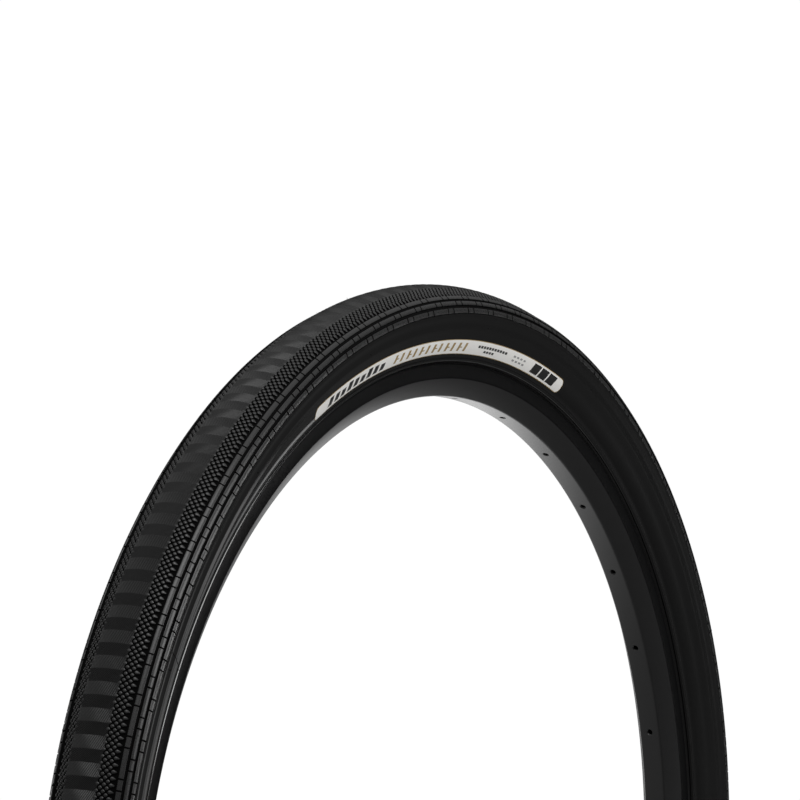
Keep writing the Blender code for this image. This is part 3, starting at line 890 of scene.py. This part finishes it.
def radial_cutter(bm, angle, stations, sides=24):
    """Adds to bm a turned plug along a spoke line, from stations of (wheel radius, plug radius)."""
    a = math.radians(angle)
    out = Vector((math.cos(a), 0, math.sin(a)))
    tangent = Vector((-math.sin(a), 0, math.cos(a)))
    axis = Vector((0, 1, 0))
    rings = []
    for wheel_r, plug_r in stations:
        ring = []
        for k in range(sides):
            t = 2 * math.pi * k / sides
            spread = tangent * math.cos(t) + axis * math.sin(t)
            ring.append(bm.verts.new((out * wheel_r + spread * plug_r) * MM))
        rings.append(ring)
    for near, far in zip(rings, rings[1:]):
        for k in range(sides):
            m = (k + 1) % sides
            bm.faces.new((near[k], near[m], far[m], far[k]))
    bm.faces.new(rings[0][::-1])
    bm.faces.new(rings[-1])


def drill(obj, plugs):
    """Cuts turned plugs from obj. A plug is an angle and its stations."""
    bm = bmesh.new()
    for angle, stations in plugs:
        radial_cutter(bm, angle, stations)
    bmesh.ops.recalc_face_normals(bm, faces=bm.faces)
    mesh = bpy.data.meshes.new("plugs")
    bm.to_mesh(mesh)
    bm.free()
    subtract(obj, mesh)


def subtract(obj, cutter_mesh):
    """Cuts a closed mesh from obj and leaves the result in obj's mesh."""
    tool = bpy.data.objects.new("cutting_tool", cutter_mesh)
    bpy.context.scene.collection.objects.link(tool)
    boolean = obj.modifiers.new("cut", "BOOLEAN")
    boolean.operation = "DIFFERENCE"
    boolean.solver = "MANIFOLD"
    boolean.object = tool
    depsgraph = bpy.context.evaluated_depsgraph_get()
    result = bpy.data.meshes.new_from_object(obj.evaluated_get(depsgraph))
    obj.modifiers.clear()
    obj.data = result
    bpy.data.objects.remove(tool)


def build_rim(mats):
    """The box-section rim with chamfered spoke holes, access holes and the valve hole."""
    mesh = revolve("rim_shell", rim_outline(), RING_STEPS * 2)
    rim = new_piece("rim_shell", mesh, mats["rim"], replaces=("rim",))
    chamber = [(281.4, 5.2), (289.0, 10.3), (289.6, 9.85), (289.6, 7.9), (286.4, 4.6)]
    chamber += [(r, -y) for r, y in reversed(chamber)]
    subtract(rim, revolve("rim_chamber", chamber))
    plugs = []
    for i in range(SPOKES):
        angle = FIRST_SPOKE_ANGLE + i * 360 / SPOKES
        plugs += [(angle, SPOKE_HOLE), (angle, ACCESS_HOLE)]
    drill(rim, plugs + [(VALVE_ANGLE, VALVE_HOLE)])
    rim.data.set_sharp_from_angle(angle=math.radians(32))


def build_tape(mats):
    """The sealing tape on the rim bed, pierced at the valve."""
    mesh = revolve("rim_tape_film", cad_outline("rim_tape"))
    tape = new_piece("rim_tape_film", mesh, mats["tape"], replaces=("rim_tape",))
    drill(tape, [(VALVE_ANGLE, TAPE_HOLE)])


# ----------------------------------------------------------------------- valve

def valve_frame():
    """Origin on the spoke bed at the valve hole; +Z runs along the stem to the wheel centre."""
    a = math.radians(VALVE_ANGLE)
    origin = Vector((BED_R * math.cos(a), 0, BED_R * math.sin(a))) * MM
    up = Vector((-math.cos(a), 0, -math.sin(a)))
    side = Vector((0, 1, 0)).cross(up)
    turn = Matrix((side, Vector((0, 1, 0)), up)).transposed().to_4x4()
    return Matrix.Translation(origin) @ turn


def turned(name, node, body, finish, outline, sides=48, flutes=0, flute_depth=0.0, thread=None):
    """A lathe-turned piece that replaces a node, from a closed outline of (radius, height, mark).

    finish is (material, unused slot). A mark of 1 is a row that carries the flutes or the thread.
    thread is (low, high, pitch, depth) and needs marked rows between low and high.
    """
    points = np.array([(*p, 0)[:3] for p in outline], float)
    angle = np.arange(sides) * 2 * math.pi / sides
    radius, height, marked = (np.repeat(c[:, None], sides, axis=1) for c in points.T)
    if flutes:
        radius = radius - marked * flute_depth * (0.5 - 0.5 * np.cos(flutes * angle))
    if thread:
        low, high, pitch, depth = thread
        phase = (height / pitch - angle / (2 * math.pi)) % 1.0
        tooth = 1 - np.abs(2 * phase - 1)
        inside = (marked > 0) & (height > low) & (height < high)
        radius = np.where(inside, radius - depth * tooth, radius)
    local = np.stack([radius * np.cos(angle), radius * np.sin(angle), height], -1) * MM
    matrix = np.array(valve_frame())
    world = local.reshape(-1, 3) @ matrix[:3, :3].T + matrix[:3, 3]
    faces = tube_faces(len(points), sides, wrap_rows=True)
    mesh = mesh_from(name, world, faces, merge=MERGE_DISTANCE)
    new_piece(name, mesh, finish[0], body, (node,))


def threaded_rows(radius, start, stop, step):
    """Marked outline rows, close enough together to carry a thread."""
    return [(radius, height, 1) for height in np.arange(start, stop, step)]


def build_valve(mats):
    """The valve's pieces, with heights along the stem from the spoke bed to the wheel's centre."""
    metal = (mats["valve"], "valve_metal")
    brass = (mats["brass"], "valve_brass")
    black = (mats["black"], "black_rubber")
    turned("valve_stem_tube", "valve_stem", ROOT, metal,
           [(2.0, -15.1), (4.2, -15.1), (4.4, -14.9), (4.4, -14.1), (4.2, -13.9), (3.0, -13.9)]
           + threaded_rows(3.0, -13.6, 21.6, 0.2)
           + [(2.8, 22.0), (2.5, 22.0), (2.45, 21.8), (2.45, 14.0), (2.0, 13.6)],
           sides=36, thread=(-13, 21.3, 0.8, 0.28))
    turned("valve_base_foot", "valve_base", ROOT, black,
           [(3.35, -9.2), (3.35, -13.6), (4.6, -13.6), (4.9, -13.2), (4.9, -11.0), (4.2, -9.2)])
    turned("lock_washer_ring", "lock_washer", "lock_washer", black,
           [(3.35, 0.35), (3.7, 0.12), (5.0, 0.12), (5.4, 0.5), (5.4, 1.8), (5.1, 2.15),
            (3.7, 2.15), (3.35, 1.85)])
    turned("lock_ring_knurled", "lock_ring", "lock_ring", metal,
           [(3.35, 2.55), (3.5, 2.45), (5.2, 2.45), (5.9, 2.9, 1), (6.0, 3.1, 1), (6.0, 5.5, 1),
            (5.8, 5.9, 1), (5.0, 6.6), (4.6, 6.95), (3.6, 6.95), (3.35, 6.8)],
           sides=144, flutes=24, flute_depth=0.35)
    turned("valve_core_tube", "valve_core_body", ROOT, brass,
           [(1.0, 6.0), (1.7, 6.0), (1.7, 14.0), (2.15, 14.5), (2.15, 22.2), (2.55, 22.35),
            (2.6, 22.5), (2.6, 23.5), (2.4, 23.7), (1.65, 24.0), (1.6, 24.2), (1.6, 24.8),
            (1.4, 25.0), (1.0, 25.0)])
    turned("valve_pin_rod", "valve_pin", "valve_pin", brass,
           [(0.0, 2.2), (1.3, 2.2), (1.5, 2.4), (1.5, 3.0), (0.7, 3.3)]
           + threaded_rows(0.7, 25.2, 31.4, 0.1) + [(0.5, 31.8), (0.0, 31.8)],
           sides=24, thread=(25.3, 31.3, 0.4, 0.1))
    turned("valve_core_seal_ring", "valve_core_seal", "valve_pin", black,
           [(1.0, 3.7), (1.4, 3.7), (1.6, 3.9), (1.6, 5.1), (1.3, 5.7), (1.0, 5.7)])
    turned("valve_nut_knurled", "valve_nut", "valve_nut", brass,
           [(1.0, 28.1), (1.1, 28.0), (1.7, 28.0), (2.1, 28.35, 1), (2.1, 30.45, 1), (1.7, 30.8),
            (1.1, 30.8), (1.0, 30.7)],
           sides=96, flutes=16, flute_depth=0.16)
    turned("dust_cap_shell", "dust_cap", "dust_cap", (mats["cap"], "cap_plastic"),
           [(0.0, 32.3), (2.2, 32.3), (2.8, 31.7), (2.8, 24.4), (3.35, 24.1), (3.35, 12.6),
            (3.45, 12.5), (4.0, 12.5), (4.2, 12.8, 1), (4.2, 24.0, 1), (4.1, 24.6, 1),
            (3.7, 25.6), (3.65, 32.6), (3.3, 33.4), (2.6, 33.8), (0.0, 33.8)],
           sides=120, flutes=20, flute_depth=0.3)


# ------------------------------------------------------------- stage and camera

def build_floor(height):
    """A pale floor, clipped to white in the picture except for a painted shadow by the tyre.

    Other rays see painted light on it: bright behind the tyre, dark in front, past the card.
    """
    mesh = bpy.data.meshes.new("floor")
    corners = [(x * FLOOR_HALF_SIZE, y * FLOOR_HALF_SIZE, height)
               for x, y in ((-1, -1), (1, -1), (1, 1), (-1, 1))]
    mesh.from_pydata(corners, [], [(0, 1, 2, 3)])
    mat, nodes, links, shader = node_material("floor_paint", grey(0.05), 0.7)
    # To the camera the floor glows white, dimmed near the tyre by occlusion: a painted shadow.
    shade = nodes.new("ShaderNodeAmbientOcclusion")
    shade.inputs["Distance"].default_value = CONTACT_REACH
    shade.samples = CONTACT_SAMPLES
    painted_shade_glow = nodes.new("ShaderNodeEmission")
    links.new(ramp(nodes, links, shade.outputs["AO"], (0, 1), (PAINTED_CONTACT_SHADE, PAPER_WHITE)),
              painted_shade_glow.inputs["Strength"])
    # For other rays the floor glows with painted light, bright behind and dark past the card.
    place = nodes.new("ShaderNodeTexCoord").outputs["Object"]
    behind = measure(nodes, links, place, FLOOR_BRIGHT_SIDE)
    right = measure(nodes, links, place, (1, 0, 0))
    painted_floor_glow = nodes.new("ShaderNodeEmission")
    level = times(nodes, links, ramp(nodes, links, behind, FLOOR_EDGE, FLOOR_GLOW_LEVELS),
                  ramp(nodes, links, right, FLOOR_LEFT_EDGE, FLOOR_LEFT_GLOW_LEVELS))
    back = nodes.new("ShaderNodeNewGeometry").outputs["Incoming"]
    links.new(times(nodes, links, level, past_card(nodes, links, back, -1)),
              painted_floor_glow.inputs["Strength"])
    both = nodes.new("ShaderNodeAddShader")
    links.new(shader.outputs[0], both.inputs[0])
    links.new(painted_floor_glow.outputs[0], both.inputs[1])
    seen_by_camera(nodes, links, painted_shade_glow, both, nodes["Material Output"])
    mesh.materials.append(mat)
    floor = bpy.data.objects.new("floor", mesh)
    bpy.context.scene.collection.objects.link(floor)
    floor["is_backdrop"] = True


def past_card(nodes, links, vector, sign):
    """The share of light that comes past the dark card, from sign times a unit vector."""
    along = measure(nodes, links, vector, camera_forward() * sign)
    height = measure(nodes, links, vector, (0, 0, sign))
    hidden = times(nodes, links, ramp(nodes, links, along, CARD_SIDE_EDGE, (0, 1)),
                   ramp(nodes, links, height, CARD_LOW_EDGE, (0, 1)))
    return ramp(nodes, links, hidden, (0, 1), (1, CARD_LIGHT), "LINEAR")


def seen_by_camera(nodes, links, camera_shader, other_shader, out):
    """One shader for the camera and another for everything else."""
    path = nodes.new("ShaderNodeLightPath")
    mix = nodes.new("ShaderNodeMixShader")
    links.new(path.outputs["Is Camera Ray"], mix.inputs["Fac"])
    links.new(other_shader.outputs[0], mix.inputs[1])
    links.new(camera_shader.outputs[0], mix.inputs[2])
    links.new(mix.outputs[0], out.inputs["Surface"])


def build_world():
    """White to the camera. To the tyre it is a dim room, lighter overhead."""
    world = bpy.data.worlds.new("studio")
    bpy.context.scene.world = world
    world.use_nodes = True
    nodes, links = world.node_tree.nodes, world.node_tree.links
    nodes.clear()
    seen = nodes.new("ShaderNodeBackground")
    room = nodes.new("ShaderNodeBackground")
    for light in (seen, room):
        light.inputs["Color"].default_value = (1, 1, 1, 1)
    seen.inputs["Strength"].default_value = PAPER_WHITE
    place = nodes.new("ShaderNodeTexCoord").outputs["Generated"]
    above = measure(nodes, links, place, (0, 0, 1))
    level = ramp(nodes, links, above, (0, 1), ROOM_LEVELS, "LINEAR")
    links.new(times(nodes, links, level, past_card(nodes, links, place, 1)),
              room.inputs["Strength"])
    seen_by_camera(nodes, links, seen, room, nodes.new("ShaderNodeOutputWorld"))


def softbox(name, azimuth, elevation, distance, width, height, radiance, glossy):
    """A soft rectangular light aimed at the wheel's centre, hidden from the camera."""
    data = bpy.data.lights.new(name, "AREA")
    data.shape = "RECTANGLE"
    data.size, data.size_y = width, height
    data.energy = radiance * math.pi * width * height
    light = bpy.data.objects.new(name, data)
    bpy.context.scene.collection.objects.link(light)
    a, e = math.radians(azimuth), math.radians(elevation)
    out = Vector((math.cos(e) * math.cos(a), math.cos(e) * math.sin(a), math.sin(e)))
    light.location = out * distance
    light.rotation_mode = "QUATERNION"
    light.rotation_quaternion = (-out).to_track_quat("-Z", "Y")
    light.visible_camera = False
    light.visible_glossy = glossy


def camera_forward():
    """The camera's line of sight."""
    return Vector((math.sin(CAMERA_YAW) * math.cos(CAMERA_PITCH),
                   math.cos(CAMERA_YAW) * math.cos(CAMERA_PITCH), math.sin(CAMERA_PITCH)))


def build_camera():
    data = bpy.data.cameras.new("camera")
    data.lens, data.sensor_width = CAMERA_LENS, SENSOR_WIDTH
    data.clip_start, data.clip_end = CAMERA_CLIP
    camera = bpy.data.objects.new("camera", data)
    bpy.context.scene.collection.objects.link(camera)
    camera.location = CAMERA_PLACE
    camera.rotation_mode = "QUATERNION"
    camera.rotation_quaternion = camera_forward().to_track_quat("-Z", "Y")
    bpy.context.scene.camera = camera


def build():
    mats = make_materials()
    build_tread_body(mats)
    build_file_band(mats)
    build_knobs(mats)
    build_ribs(mats)
    build_sidewalls(mats)
    build_moulding_marks(mats)
    build_labels(mats)
    build_layers(mats)
    build_rim(mats)
    build_tape(mats)
    build_valve(mats)
    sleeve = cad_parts["rim_joint_sleeve"].data.materials
    sleeve.clear()
    sleeve.append(mats["sleeve"])
    build_world()
    for light in SOFTBOXES:
        softbox(*light)
    build_camera()
    bpy.context.scene.view_settings.view_transform = "Standard"
    build_floor(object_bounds()[0].z - FLOOR_GAP)


build()
